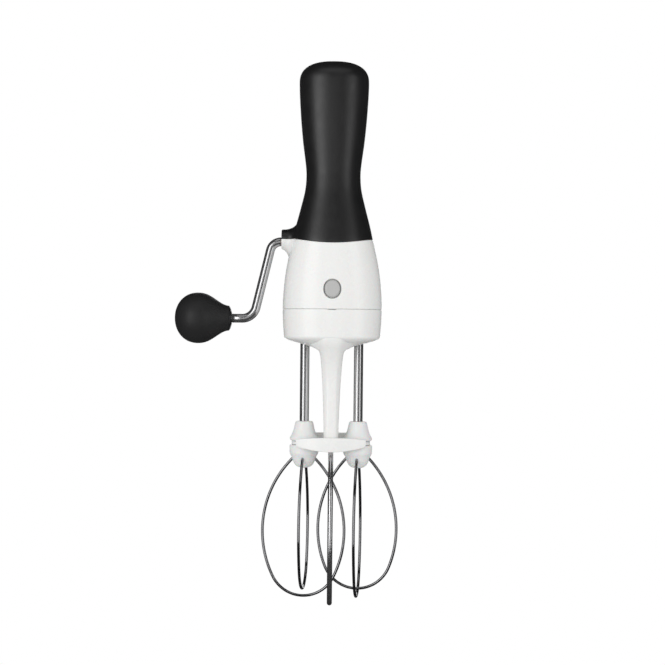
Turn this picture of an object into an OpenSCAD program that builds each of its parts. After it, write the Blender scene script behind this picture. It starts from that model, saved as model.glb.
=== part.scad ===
// Hand-crank egg beater with two wire beaters, a moulded handle and a detachable beater unit.
// Z is up and the beaters point down. The origin is at the waist of the grip, on the middle axis.
// The crank leaves the body toward -X and the release button faces -Y. All sizes are millimetres.

/* [Grip and housing] */
// Height of the top of the grip above its waist
grip_top = 64; // [62:0.5:66]
// Thickness of the soft rubber skin on the grip
rubber_t = 2; // [1.6:0.1:2]
// Wall thickness of the rigid mouldings
wall = 2.2; // [2:0.1:2.4]
// Height of the joint between the upper and lower housing
seam_z = -75; // [-75.4:0.1:-74.8]
// Roundness of the body in plan, where 2 is an ellipse
plan_power = 2.4; // [2.3:0.05:2.6]

/* [Crank] */
// Radius of the crank rod
rod_r = 2.25; // [2.2:0.01:2.3]
// Height of the crank axis
crank_z = -37.2; // [-37.4:0.1:-37.2]
// Height of the knob axis when the crank points down
knob_z = -80.4; // [-82:0.1:-79]
// Angle between the slanted stretch of the rod and the vertical
crank_lean = 13.5; // [12:0.5:14]
// Largest radius of the crank knob
knob_r = 14.2; // [13:0.1:15]

/* [Gears] */
// Gear module
gear_m = 0.65; // [0.64:0.01:0.65]
// Number of teeth on each crown gear on the crank
crown_teeth = 40; // [40:4:40]
// Number of teeth on each pinion
pinion_teeth = 10; // [10:2:10]

/* [Beater unit] */
// Distance of each beater shaft from the middle axis
shaft_x = 15.1; // [15:0.1:15.2]
// Radius of the beater shafts
shaft_r = 2.6; // [2.5:0.05:2.6]
// Radius of the beater wire
wire_r = 0.8; // [0.7:0.05:0.8]
// Largest radius of the outer wire loops, at the middle of the wire
outer_loop_r = 23.1; // [22.8:0.1:23.3]
// Largest radius of the inner wire loops, at the middle of the wire
inner_loop_r = 22.1; // [22:0.1:22.3]
// Angle by which both beaters stand turned, so that their wires pass each other
beater_turn = 5.6; // [5.4:0.1:6]
// Radius of the fixed guard wire
guard_r = 1.43; // [1.3:0.01:1.5]
// Height of the lowest point of the guard wire
guard_bottom = -241; // [-242:0.5:-240.5]

/* [Button] */
// Height of the middle of the release button
button_z = -63.9; // [-64.1:0.1:-63.6]
// Travel of the release button
button_travel = 2; // [1.6:0.1:2]

/* [Hidden] */
$fn = 64;
run = 0.05;
eps = 0.2;
joint_extra = 0.04;

// Half width and half depth of the body at each height, from the grip down to the seam and beyond
STATIONS = [
    [52, 19.5, 17.2], [36, 18.8, 16.8], [20, 17.4, 15.8], [6, 15.6, 14.6], [0, 15.2, 14.3],
    [-8, 15.8, 14.8], [-18, 18.1, 16.5], [-28, 20.7, 18.5], [-37, 22.7, 20.2], [-48, 25.2, 21.2],
    [-60, 27.0, 21.8], [-75, 27.8, 22.2], [-90, 27.0, 21.6]
];
dome_z = STATIONS[0][0];
dome_power = 2.5;
body_sides = 36;

// Border between the rubber grip and the white housing: it sinks from the sides to the front and back
border_z = -35.9;
border_dip = 2.5;
border_half = 22.6;

// Crank boss on the left of the body
boss_r = 5.6;
boss_z = -35.9;
boss_x = -28.8;
bush_r = 3.4;
bush_x0 = -28.6;
bush_x1 = -16.6;

// Bends of the crank rod, the radius and outer shoulder of its bent part, and the rod's two ends
bend_r1 = 6.2;
bend_r2 = 8;
bend_x = -29;
bent_r = 2.5;
bent_x = -56.1;
rod_in_x = 14;
rod_out_x = -85.4;

// Knob outline along X: its widest point, its neck, and the length and power of its round nose
knob_mid_x = -75.4;
knob_end_x = -57.7;
knob_nose = 12.9;
knob_power = 2.1;
knob_neck = 7;

// Gears: the pitch radii, and where the teeth start and end
pinion_r = gear_m * pinion_teeth / 2;
crown_r = gear_m * crown_teeth / 2;
tooth_add = 0.92 * gear_m;
tooth_ded = 1.15 * gear_m;
tooth_w = 0.185 * PI * gear_m;
tooth_slope = tan(20);
crown_face = 1.1;
crown_rim = 0.25;
crown_x = shaft_x - pinion_r;
pinion_z = crank_z - crown_r;
crown_hub_x = 6.6;
crown_disc_x = 9;
pin_x = 7.7;
pin_r = 0.75;

// Gear frame inside the upper housing
frame_top = -67;
frame_bottom = -70;
arm_top = -45.1;
arm_bottom = -48;
post_x0 = 19.3;
post_x1 = 22;
journal_r = 1.5;
coupler_r = 3;
coupler_top = -58;
socket_r = 4.9;
socket_top = -70.3;
socket_bottom = -75.4;
hex_shaft = 4.4;
hex_socket = 4.6;
drive_bush_r = 4.3;
screw_spots = [[17.5, 11], [-17.5, 11], [17.5, -11], [-17.5, -11]];
core_spots = [[15.6, 7.5], [-15.6, 7.5], [15.6, -7.5], [-15.6, -7.5]];

// Release button, its guide, and the latch tongue behind it
button_r = 4.25;
button_h = 0.55;
button_gap = 0.65;
button_front = -22.4;
button_flange_r = 6.6;
button_flange_y = -18.9;
guide_end = -14.4;
stem_r = 1.6;
stem_end = -11.8;
tongue_y0 = -11.4;
tongue_y1 = -9.9;
tongue_top = -62.3;
tongue_hook_z = -65.8;

// Lower housing, its column and the crossbar; seam_gap is half of the gap at the seam
cover_top = -76;
cover_bottom = -78;
floor_z = -91.2;
seam_gap = 0.15;
bush_bottom = -93.4;
bar_top = -146.4;
bar_bottom = -154.3;
bar_back_top = -144.8;
bar_arc_r = 45.4;
bar_half_y = 13.4;
bar_half_x = 19.5;
bar_wall = 1.6;
plate_top = -148.9;
plate_bottom = -150.8;
guard_boss_z = -154.4;
bar_screw_z = -152.4;
ring_r = 6.9;
bar_bush_r = 5.4;
neck_r = 4;
hub_flange_r = 8.1;
column_back = 3.5;

// Wire loops: the height of the widest point, the radius of the side arcs, and the lowest wire centre
loop_mid = -199.5;
loop_side_r = 58;
outer_bottom = -235.8;
inner_mid = -198;
inner_side_r = 57.5;
inner_bottom = -231.5;
loop_top = -156.6;
guard_half = 22.2;
guard_mid = -200;
guard_side_r = 75;
guard_top = -150.5;

// ---- Shapes that repeat ----

// Smooth value of column k of the stations at height z
function segment(z, i = 0) =
    (i >= len(STATIONS) - 2 || z >= STATIONS[i + 1][0]) ? i : segment(z, i + 1);
function slope(i, k) =
    let (a = STATIONS[max(i - 1, 0)], b = STATIONS[min(i + 1, len(STATIONS) - 1)])
    i == 0 ? 0 : (b[k] - a[k]) / (b[0] - a[0]);
function smooth(z, k) =
    let (i = segment(z), a = STATIONS[i], b = STATIONS[i + 1], h = b[0] - a[0], t = (z - a[0]) / h)
    a[k] * (2 * pow(t, 3) - 3 * t * t + 1) + h * slope(i, k) * (pow(t, 3) - 2 * t * t + t)
    + b[k] * (3 * t * t - 2 * pow(t, 3)) + h * slope(i + 1, k) * (pow(t, 3) - t * t);

// Rounded plan outline with half width w and half depth d
function plan(w, d, n = body_sides) = [
    for (i = [0:n - 1]) let (c = cos(360 * i / n), s = sin(360 * i / n))
    [w * sign(c) * pow(abs(c), 2 / plan_power), d * sign(s) * pow(abs(s), 2 / plan_power)]
];
function ring_at(w, d, z) = [for (p = plan(w, d)) [p[0], p[1], z]];
function body_ring(z, inset) = ring_at(smooth(z, 1) - inset, smooth(z, 2) - inset, z);
function dome_ring(t, inset) =
    let (f = pow(cos(t), 2 / dome_power), g = pow(sin(t), 2 / dome_power))
    ring_at((STATIONS[0][1] - inset) * f, (STATIONS[0][2] - inset) * f,
            dome_z + (grip_top - dome_z - inset) * g);

// Closed skin over a list of rings that run downward
module skin(rings) {
    n = len(rings[0]);
    m = len(rings);
    sides = [
        for (r = [0:m - 2], i = [0:n - 1]) let (a = r * n + i, b = r * n + (i + 1) % n)
        each [[a, b, b + n], [a, b + n, a + n]]
    ];
    top = [for (i = [0:n - 1]) n - 1 - i];
    bottom = [for (i = [0:n - 1]) (m - 1) * n + i];
    polyhedron(points = [for (r = rings) each r], faces = concat([top], sides, [bottom]), convexity = 4);
}

// Body shape from z_hi to z_lo, moved inward by inset
module body_form(z_hi, z_lo, inset, steps) {
    skin([for (i = [0:steps]) body_ring(z_hi + (z_lo - z_hi) * i / steps, inset)]);
}

// Grip shape from its domed top down to z_lo, moved inward by inset
module domed_form(z_lo, inset) {
    dome_steps = 7;
    steps = 14;
    dome = [for (i = [0:dome_steps - 1]) dome_ring(82 * (1 - i / dome_steps), inset)];
    rest = [for (i = [0:steps]) body_ring(dome_z + (z_lo - dome_z) * i / steps, inset)];
    skin(concat(dome, rest));
}

// Everything below the border between grip and housing
module below_border(extra = 0) {
    steps = 14;
    wave = [
        for (i = [0:steps]) let (x = border_half * (1 - 2 * i / steps))
        [x, border_z - border_dip * cos(90 * x / border_half)]
    ];
    rotate([90, 0, 0])
        translate([0, 0, -40])
            linear_extrude(80)
                polygon(concat([[-40, -60 - extra], [40, -60 - extra], [40, border_z]], wave,
                               [[-40, border_z]]));
}

// Everything above the border
module above_border() {
    difference() {
        translate([-40, -39, -59])
            cube([80, 78, 60]);
        below_border(10);
    }
}

// Rod or tube along X from x0 to x1, centred on height z
module rod_x(r, x0, x1, z = crank_z) {
    translate([x0, 0, z])
        rotate([0, 90, 0])
            cylinder(r = r, h = x1 - x0);
}

// Rod along Y from y0 to y1
module rod_y(r, y0, y1, x = 0, z = 0) {
    translate([x, y1, z])
        rotate([90, 0, 0])
            cylinder(r = r, h = y1 - y0);
}

// Upright rod between two heights
module post(r, z0, z1, x = 0, y = 0) {
    translate([x, y, z0])
        cylinder(r = r, h = z1 - z0);
}

// Upright tube between two heights
module tube(r_out, r_in, z0, z1, x = 0) {
    difference() {
        post(r_out, z0, z1, x);
        post(r_in, z0 - 1, z1 + 1, x);
    }
}

// Oval block along Y, with a round top and bottom
module oval_y(r, half, y0, y1) {
    rod_y(r, y0, y1, 0, button_z + half);
    rod_y(r, y0, y1, 0, button_z - half);
    translate([-r, y0, button_z - half])
        cube([2 * r, y1 - y0, 2 * half]);
}

// Six-sided bar between two heights, measured across its flats
module hex_bar(flats, z0, z1, x) {
    translate([x, 0, z0])
        rotate([0, 0, beater_turn])
            cylinder(r = flats / 2 / cos(30), h = z1 - z0, $fn = 6);
}

// Part of a ring of wire in the XZ plane, from angle a0 to a1 about its centre
module wire_arc(centre_x, centre_z, arc_r, a0, a1, r) {
    translate([centre_x, 0, centre_z])
        rotate([90, 0, 0])
            rotate([0, 0, a0])
                rotate_extrude(angle = a1 - a0)
                    translate([arc_r, 0])
                        circle(r = r, $fn = 32);
}

// Small ball that closes the joint between two stretches of rod in the XZ plane
module joint_ball(x, z, r) {
    translate([x, 0, z])
        sphere(r = r + joint_extra);
}

// Wire loop in the XZ plane: two long side arcs that meet one round arc at the bottom
module wire_loop(half, mid, side_r, bottom, top, r) {
    offset_x = side_r - half;
    depth = mid - bottom;
    low_r = (side_r * side_r - offset_x * offset_x - depth * depth) / (2 * (side_r - depth));
    low_z = bottom + low_r;
    join = atan2(mid - low_z, offset_x);
    rise = asin((top - mid) / side_r);
    for (m = [0, 1])
        mirror([m, 0, 0]) {
            wire_arc(-offset_x, mid, side_r, -join, rise, r);
            joint_ball(low_r * cos(join), low_z - low_r * sin(join), r);
        }
    wire_arc(0, low_z, low_r, 180 + join, 360 - join, r);
}

// Screw with a round head, pointing up from height z
module screw_up(x, y, z, length, r = 1.2, head = 2.3) {
    difference() {
        union() {
            post(r, z - eps, z + length, x, y);
            post(head, z - 1.6, z, x, y);
        }
        translate([x - 1.6, y - 0.3, z - 2])
            cube([3.2, 0.6, 1]);
    }
}

// Open spring clip around an upright shaft, with its gap toward +Y
module clip(r_in, r_out, z0, z1, x = 0) {
    difference() {
        tube(r_out, r_in, z0, z1, x);
        translate([x - r_in * 0.7, 0, z0 - 1])
            cube([r_in * 1.4, r_out + 1, z1 - z0 + 2]);
    }
}

// ---- Handle ----

module boss(x1) {
    rod_x(boss_r, boss_x, x1, boss_z);
}

module gear_room() {
    rod_x(crown_r + crown_face + 0.7, -13, 13);
}

module grip() {
    color("#1c1c1e")
        difference() {
            union() {
                domed_form(-44, 0);
                difference() {
                    boss(-15);
                    body_form(-20, -50, rubber_t / 2, 6);
                }
            }
            below_border();
            difference() {
                domed_form(-44, rubber_t);
                translate([-40, -40, -60])
                    cube([80, 80, 59.8 + border_z]);
            }
            body_form(-30, -44, wall, 4);
            rod_x(bush_r, -30, -10);
        }
}

module handle_core() {
    core_bottom = border_z + 0.001;
    color("#d8d8d4")
        difference() {
            union() {
                difference() {
                    domed_form(-44, rubber_t);
                    domed_form(-44, rubber_t + wall);
                }
                intersection() {
                    domed_form(-44, rubber_t + 0.4);
                    for (p = core_spots)
                        post(2.7, border_z, -26, p[0], p[1]);
                }
            }
            translate([-40, -40, -70])
                cube([80, 80, 70 + border_z]);
            for (p = core_spots)
                post(1.2, border_z - 1, -29, p[0], p[1]);
            gear_room();
            rod_x(bush_r, -30, -10);
        }
}

module core_screws() {
    color("#9a9ca0")
        for (p = core_spots)
            screw_up(p[0], p[1], border_z - wall, 9);
}

// Tabs that carry the core of the handle
module core_tabs() {
    for (s = [-1, 1])
        translate([s * 19 - 6, -14, border_z - wall])
            cube([12, 28, wall]);
}

module upper_housing() {
    color("#f2f2ef")
        difference() {
            union() {
                difference() {
                    union() {
                        body_form(-30, seam_z + seam_gap, 0, 12);
                        boss(-15);
                    }
                    body_form(-29, seam_z - 1, wall, 12);
                }
                intersection() {
                    body_form(-30, seam_z, wall / 2, 12);
                    union() {
                        core_tabs();
                        for (p = screw_spots)
                            post(3.4, frame_top, -50, p[0], p[1]);
                    }
                }
                intersection() {
                    body_form(-30, seam_z, wall / 2, 12);
                    oval_y(button_flange_r + 1.4, button_h, -23, guide_end);
                }
            }
            difference() {
                above_border();
                intersection() {
                    body_form(-30, -44, wall, 4);
                    core_tabs();
                }
            }
            oval_y(button_flange_r + run, button_h, button_flange_y - run, -10);
            oval_y(button_r + button_gap, button_h, -30, -10);
            for (p = screw_spots)
                post(1.2, frame_top - 1, -55, p[0], p[1]);
            for (p = core_spots)
                post(1.3, border_z - wall - 1, border_z + 1, p[0], p[1]);
            rod_x(bush_r, -30, bush_x1);
            rod_x(rod_r + 2.5, bush_x1, rod_in_x + 1);
            gear_room();
        }
}

module crank_bush() {
    color("#b08d57")
        difference() {
            rod_x(bush_r, bush_x0, bush_x1);
            rod_x(rod_r + run, bush_x0 - 1, bush_x1 + 1);
        }
}

module gear_frame() {
    color("#c9c9c4")
        difference() {
            union() {
                translate([0, 0, frame_bottom])
                    linear_extrude(frame_top - frame_bottom)
                        polygon(plan(25.1, 19.2));
                translate([-5.8, -6.5, frame_top - eps])
                    cube([11.6, 13, crank_z + 5 - frame_top]);
                for (s = [-1, 1]) {
                    translate([s * (post_x0 + post_x1) / 2 - 1.35, -4.5, frame_top - eps])
                        cube([post_x1 - post_x0, 9, arm_top - frame_top + eps]);
                    translate([s * shaft_x + (s > 0 ? 0 : -5.5), -3, arm_bottom])
                        cube([5.5, 6, arm_top - arm_bottom]);
                    intersection() {
                        post(3, arm_bottom, arm_top, s * shaft_x);
                        translate([s * 18 - 5.1, -5, arm_bottom - 1])
                            cube([10.2, 10, 6]);
                    }
                }
            }
            rod_x(rod_r + run, -10, 10);
            for (s = [-1, 1]) {
                post(journal_r + run, arm_bottom - 1, arm_top + 1, s * shaft_x);
                post(drive_bush_r, frame_bottom - 1, frame_top + 1, s * shaft_x);
            }
            for (p = screw_spots)
                post(1.3, frame_bottom - 1, frame_top + 1, p[0], p[1]);
            translate([-4, -12, frame_bottom - 1])
                cube([8, 3.8, 5]);
            translate([-8.5, -20, frame_bottom - 1])
                cube([17, 6.7, 5]);
        }
}

module frame_screws() {
    color("#9a9ca0")
        for (p = screw_spots)
            screw_up(p[0], p[1], frame_bottom, 12);
}

module drive_bush(s) {
    color("#b08d57")
        tube(drive_bush_r, coupler_r + run, frame_bottom, frame_top, s * shaft_x);
}

module left_drive_bush() drive_bush(-1);
module right_drive_bush() drive_bush(1);

// ---- Release button ----

module release_button() {
    bevel = 0.7;
    color("#bcbcba")
        union() {
            oval_y(button_r, button_h, button_front + bevel, button_flange_y);
            oval_y(button_r - bevel, button_h, button_front, -20);
            oval_y(button_flange_r, button_h, button_flange_y, button_flange_y + 1.2);
            rod_y(stem_r, button_flange_y, stem_end, 0, button_z);
        }
}

module button_retainer() {
    stop_y = button_flange_y + 1.2 + button_travel + run;
    color("#c9c9c4")
        difference() {
            union() {
                oval_y(button_flange_r + 1.4, button_h, guide_end, guide_end + 1);
                rod_y(stem_r + 1.1, stop_y, guide_end + eps, 0, button_z);
            }
            rod_y(stem_r + run, -17, -12, 0, button_z);
        }
}

module button_spring() {
    turns = 3;
    steps = 30;
    coil_r = 3.4;
    wire = 0.25;
    y0 = button_flange_y + 1.2 + wire + 0.05;
    y1 = guide_end - wire - 0.05;
    rings = [
        for (i = [0:steps]) let (a = 360 * turns * i / steps, y = y0 + (y1 - y0) * i / steps)
        [for (j = [0:7]) let (b = -45 * j, q = coil_r + wire * cos(b))
            [q * cos(a), y + wire * sin(b), button_z + q * sin(a)]]
    ];
    color("#c4c6c8")
        skin(rings);
}

// ---- Crank ----

module crank_rod() {
    c1 = [bend_x, crank_z - bend_r1];
    p1 = c1 + bend_r1 * [-cos(crank_lean), sin(crank_lean)];
    c2z = knob_z + bend_r2;
    p2z = c2z - bend_r2 * sin(crank_lean);
    fall = (p1[1] - p2z) / cos(crank_lean);
    p2x = p1[0] - fall * sin(crank_lean);
    c2x = p2x - bend_r2 * cos(crank_lean);
    color("#c9cdd0")
        difference() {
            union() {
                rod_x(rod_r, bend_x - 1, rod_in_x);
                wire_arc(c1[0], c1[1], bend_r1, 90, 180 - crank_lean, bent_r);
                translate([p1[0], 0, p1[1]])
                    rotate([0, 180 + crank_lean, 0])
                        cylinder(r = bent_r, h = fall);
                wire_arc(c2x, c2z, bend_r2, 270, 360 - crank_lean, bent_r);
                rod_x(bent_r, bent_x, c2x, knob_z);
                rod_x(rod_r, rod_out_x, c2x, knob_z);
                joint_ball(p1[0], p1[1], bent_r);
                joint_ball(p2x, p2z, bent_r);
                joint_ball(c2x, knob_z, bent_r);
            }
            for (s = [-1, 1])
                rod_y(pin_r, -4, 4, s * pin_x, crank_z);
            rod_x_groove(12.9, 13.5, crank_z);
            rod_x_groove(-16.4, -15.8, crank_z);
            rod_x_groove(-84.9, -84.3, knob_z);
        }
}

module rod_x_groove(x0, x1, z) {
    difference() {
        rod_x(rod_r + 1, x0, x1, z);
        rod_x(rod_r - 0.5, x0 - 1, x1 + 1, z);
    }
}

module crown_gear(s) {
    root_x = crown_x - tooth_ded;
    tip_x = crown_x + tooth_add;
    half_root = tooth_w + tooth_ded * tooth_slope;
    half_tip = tooth_w - tooth_add * tooth_slope;
    color("#e6e0d0")
        translate([0, 0, crank_z])
            mirror([s < 0 ? 1 : 0, 0, 0])
                difference() {
                    union() {
                        rotate([0, 90, 0]) {
                            translate([0, 0, crown_disc_x])
                                cylinder(r = crown_r + crown_face + crown_rim, h = root_x - crown_disc_x);
                            translate([0, 0, crown_hub_x])
                                cylinder(r = 5, h = crown_disc_x - crown_hub_x + eps);
                        }
                        for (i = [0:crown_teeth - 1])
                            rotate([360 * i / crown_teeth, 0, 0])
                                translate([0, 0, -crown_r - crown_face])
                                    linear_extrude(2 * crown_face)
                                        polygon([
                                            [root_x - eps, -half_root], [root_x, -half_root],
                                            [tip_x, -half_tip], [tip_x, half_tip],
                                            [root_x, half_root], [root_x - eps, half_root]
                                        ]);
                    }
                    rotate([0, 90, 0])
                        translate([0, 0, crown_hub_x - 1])
                            cylinder(r = rod_r, h = 10);
                    for (i = [0:5])
                        rotate([60 * i + 30, 0, 0])
                            translate([crown_disc_x - 1, 0, 8.2])
                                rotate([0, 90, 0])
                                    cylinder(r = 2.2, h = 5);
                    translate([pin_x, 6, 0])
                        rotate([90, 0, 0])
                            cylinder(r = pin_r, h = 12);
                }
}

module left_drive_gear() crown_gear(-1);
module right_drive_gear() crown_gear(1);

module gear_pins() {
    color("#9a9ca0")
        for (s = [-1, 1])
            rod_y(pin_r, -5.1, 5.1, s * pin_x, crank_z);
}

// Open clip around a rod along X, in a groove of the rod
module clip_x(x0, x1, z) {
    difference() {
        rod_x(rod_r + 1.9, x0, x1, z);
        rod_x(rod_r - 0.5, x0 - 1, x1 + 1, z);
        translate([x0 - 1, -1.2, z])
            cube([x1 - x0 + 2, 2.4, rod_r + 3]);
    }
}

module crank_clips() {
    color("#808488") {
        clip_x(12.9, 13.5, crank_z);
        clip_x(-16.4, -15.8, crank_z);
    }
}

// ---- Crank knob ----

// Half outline of the knob: a round nose, then a waisted run down to the neck
function knob_profile(steps = 10) = concat(
    [for (i = [0:steps]) let (t = 90 - 90 * i / steps)
        [knob_mid_x - knob_nose * pow(sin(t), 2 / knob_power), knob_r * pow(cos(t), 2 / knob_power)]],
    [for (i = [1:steps]) let (u = i / steps)
        [knob_mid_x + (knob_end_x - knob_mid_x) * u,
         knob_neck + (knob_r - knob_neck) * (1 + cos(180 * pow(u, 1.2))) / 2]]
);

module knob_outer() {
    translate([0, 0, knob_z])
        rotate([0, 90, 0])
            rotate_extrude()
                polygon(concat([for (p = knob_profile()) [p[1], p[0]]], [[0, knob_end_x]]));
}

module knob_grip() {
    color("#202022")
        difference() {
            knob_outer();
            rod_x(5, -84, -50, knob_z);
            rod_x(rod_r + 2.2, -86, -83, knob_z);
        }
}

module knob_core() {
    color("#2c2c2e")
        difference() {
            union() {
                rod_x(5, -84, knob_end_x, knob_z);
                translate([knob_end_x, 0, knob_z])
                    rotate([0, 90, 0])
                        cylinder(r1 = knob_neck - 0.1, r2 = 3.2, h = 1.4);
            }
            rod_x(rod_r + run, -90, -50, knob_z);
        }
}

module knob_clip() {
    color("#808488")
        clip_x(-84.9, -84.3, knob_z);
}

// ---- Drive to the beaters ----

module pinion(s) {
    root = pinion_r - tooth_ded;
    tip = pinion_r + tooth_add;
    half_root = tooth_w + tooth_ded * tooth_slope;
    half_tip = tooth_w - tooth_add * tooth_slope;
    outline = [
        for (i = [0:pinion_teeth - 1]) let (a = 360 * (i + 0.5) / pinion_teeth)
        each [for (p = [[root, -half_root], [tip, -half_tip], [tip, half_tip], [root, half_root]])
            [p[0] * cos(a) - p[1] * sin(a), p[0] * sin(a) + p[1] * cos(a)]]
    ];
    color("#e6e0d0")
        union() {
            translate([s * shaft_x, 0, pinion_z - 1.9])
                linear_extrude(3.8)
                    polygon(outline);
            post(journal_r, pinion_z + 1.5, arm_top - 0.1, s * shaft_x);
            post(2, -62, pinion_z - 1.5, s * shaft_x);
        }
}

module left_pinion() pinion(-1);
module right_pinion() pinion(1);

module coupler(s) {
    color("#b9bcc0")
        difference() {
            union() {
                post(coupler_r, socket_top - eps, coupler_top, s * shaft_x);
                post(socket_r, socket_bottom, socket_top, s * shaft_x);
            }
            post(2, -62, coupler_top + 1, s * shaft_x);
            hex_bar(hex_socket, socket_bottom - 1, -71, s * shaft_x);
            rod_groove(coupler_r, 0.4, -66.7, -66, s * shaft_x);
        }
}

module rod_groove(r, depth, z0, z1, x) {
    difference() {
        post(r + 1, z0, z1, x);
        post(r - depth, z0 - 1, z1 + 1, x);
    }
}

module left_coupler() coupler(-1);
module right_coupler() coupler(1);

module coupler_clip(s) {
    color("#808488")
        clip(coupler_r - 0.4, coupler_r + 1, -66.7, -66, s * shaft_x);
}

module left_coupler_clip() coupler_clip(-1);
module right_coupler_clip() coupler_clip(1);

// ---- Beater unit ----

// Flattened bottom of the housing, running in toward the column
module lower_form(z_hi) {
    corner = [
        [-91.2, 26.4, 21.1], [-92.3, 24.4, 19.6], [-93.4, 20.9, 17.4], [-94.6, 16.4, 14.9],
        [-95.7, 12.6, 12.8], [-97.2, 8.9, 10.4], [-98.2, 7, 8.6]
    ];
    steps = 6;
    skin(concat(
        [for (i = [0:steps]) body_ring(z_hi + (-90 - z_hi) * i / steps, 0)],
        [for (c = corner) ring_at(c[1], c[2], c[0])]
    ));
}

// Column: height, half width, half width of its front face, and the depth of that face
module column() {
    steps = [
        [-89.6, 14, 5, -21.4], [-92, 14, 5.2, -21.1], [-94.2, 13, 5, -20.3], [-95.6, 11.4, 4.6, -19.5],
        [-97, 8.9, 4.2, -18.6], [-98.5, 7, 3.8, -17.7], [-104, 6, 3.2, -14.9], [-110, 5.5, 2.9, -13.1],
        [-116, 5.1, 2.6, -12.2], [-127, 4.6, 2.4, -11.7], [-139, 4.2, 2.4, -11.7], [plate_top, 4.1, 2.4, -11.7]
    ];
    edge = 1.6;
    skin([
        for (s = steps) let (w = s[1], face = s[2], f = s[3], b = column_back)
        [[w, f + w - face, s[0]], [w, b - edge, s[0]], [w - edge, b, s[0]], [edge - w, b, s[0]],
         [-w, b - edge, s[0]], [-w, f + w - face, s[0]], [-face, f, s[0]], [face, f, s[0]]]
    ]);
}

module lower_housing() {
    color("#f2f2ef")
        difference() {
            union() {
                difference() {
                    lower_form(seam_z - seam_gap);
                    body_form(seam_z + 1, floor_z, wall, 8);
                }
                difference() {
                    body_form(seam_z + 2.5, -79, wall + 0.15, 4);
                    body_form(seam_z + 3.5, -80, wall + 1.3, 4);
                }
                intersection() {
                    body_form(seam_z - 1, floor_z - 1, wall / 2, 6);
                    for (p = screw_spots)
                        post(3.2, floor_z - 1, cover_bottom, p[0], p[1]);
                }
                for (s = [-1, 1])
                    post(5.6, floor_z - 0.6, -87.4, s * shaft_x);
                column();
            }
            for (p = screw_spots)
                post(1.2, -88, cover_bottom + 1, p[0], p[1]);
            for (s = [-1, 1])
                post(4.2, -100, -80, s * shaft_x);
            post(1.2, plate_top - 1, plate_top + 12);
            translate([-2.6, -24, seam_z - 0.5])
                cube([5.2, 2.6, 0.5]);
        }
}

module lower_cover() {
    color("#d8d8d4")
        difference() {
            translate([0, 0, cover_bottom])
                linear_extrude(cover_top - cover_bottom)
                    polygon(plan(23.9, 18.4));
            for (s = [-1, 1])
                post(shaft_r + run, cover_bottom - 1, cover_top + 1, s * shaft_x);
            for (p = screw_spots)
                post(1.3, cover_bottom - 1, cover_top + 1, p[0], p[1]);
            translate([-3.5, tongue_y0, cover_bottom - 1])
                cube([7, tongue_y1 - tongue_y0, 5]);
        }
}

module cover_screws() {
    color("#9a9ca0")
        for (p = screw_spots)
            rotate([180, 0, 0])
                screw_up(p[0], -p[1], -cover_top, 9);
}

module release_tongue() {
    color("#e0e0dc")
        union() {
            translate([-3.5, tongue_y0, cover_bottom])
                cube([7, tongue_y1 - tongue_y0, tongue_top - cover_bottom]);
            translate([-5.5, tongue_y0 - 1, cover_bottom - 1.6])
                cube([11, tongue_y1 - tongue_y0 + 2, 1.6]);
            translate([-3.5, -13.2, frame_top + 0.05])
                cube([7, 2.4, tongue_hook_z - frame_top - 0.05]);
        }
}

module seal_ring() {
    color("#c9c9c4")
        difference() {
            translate([0, 0, seam_z - seam_gap])
                linear_extrude(2 * seam_gap)
                    polygon(plan(smooth(seam_z, 1) - 0.5, smooth(seam_z, 2) - 0.5));
            translate([0, 0, seam_z - 1])
                linear_extrude(2)
                    polygon(plan(smooth(seam_z, 1) - wall - 0.1, smooth(seam_z, 2) - wall - 0.1));
        }
}

module arc_wall(z0, z1) {
    centre_y = bar_arc_r - bar_half_y;
    intersection() {
        difference() {
            post(bar_arc_r, z0, z1, 0, centre_y);
            post(bar_arc_r - bar_wall, z0 - 1, z1 + 1, 0, centre_y);
        }
        translate([-bar_half_x, -20, z0 - 1])
            cube([2 * bar_half_x, 18, z1 - z0 + 2]);
    }
}

module crossbar() {
    plate_y = bar_arc_r - bar_half_y;
    color("#e4e4e0")
        difference() {
            union() {
                arc_wall(bar_bottom, bar_top);
                mirror([0, 1, 0])
                    arc_wall(bar_bottom, bar_back_top);
                intersection() {
                    post(bar_arc_r - bar_wall / 2, plate_bottom, plate_top, 0, plate_y);
                    post(bar_arc_r - bar_wall / 2, plate_bottom, plate_top, 0, -plate_y);
                    translate([-bar_half_x + 0.4, -20, plate_bottom - 1])
                        cube([2 * bar_half_x - 0.8, 40, 5]);
                }
                for (s = [-1, 1])
                    post(ring_r, plate_bottom, plate_top, s * shaft_x);
                translate([-3.8, -10.8, guard_boss_z])
                    cube([7.6, 21.6, plate_bottom - guard_boss_z + eps]);
            }
            for (s = [-1, 1])
                post(bar_bush_r, -160, -140, s * shaft_x);
            guard_shape();
            post(1.3, -160, -140);
            post(2.5, -160, bar_screw_z);
        }
}

module bar_screw() {
    color("#9a9ca0")
        screw_up(0, 0, bar_screw_z, 12.4);
}

module guard_shape() {
    rotate([0, 0, 90])
        wire_loop(guard_half, guard_mid, guard_side_r, guard_bottom + guard_r, guard_top, guard_r);
}

module guard_wire() {
    color("#b9bcc0")
        guard_shape();
}

module shaft_bush(s) {
    color("#b08d57")
        tube(4.2, shaft_r + run, bush_bottom, -87.4, s * shaft_x);
}

module left_shaft_bush() shaft_bush(-1);
module right_shaft_bush() shaft_bush(1);

module bar_bush(s) {
    color("#cfcfca")
        tube(bar_bush_r, neck_r + run, plate_bottom, plate_top, s * shaft_x);
}

module left_bar_bush() bar_bush(-1);
module right_bar_bush() bar_bush(1);

// ---- Beaters ----

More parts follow.
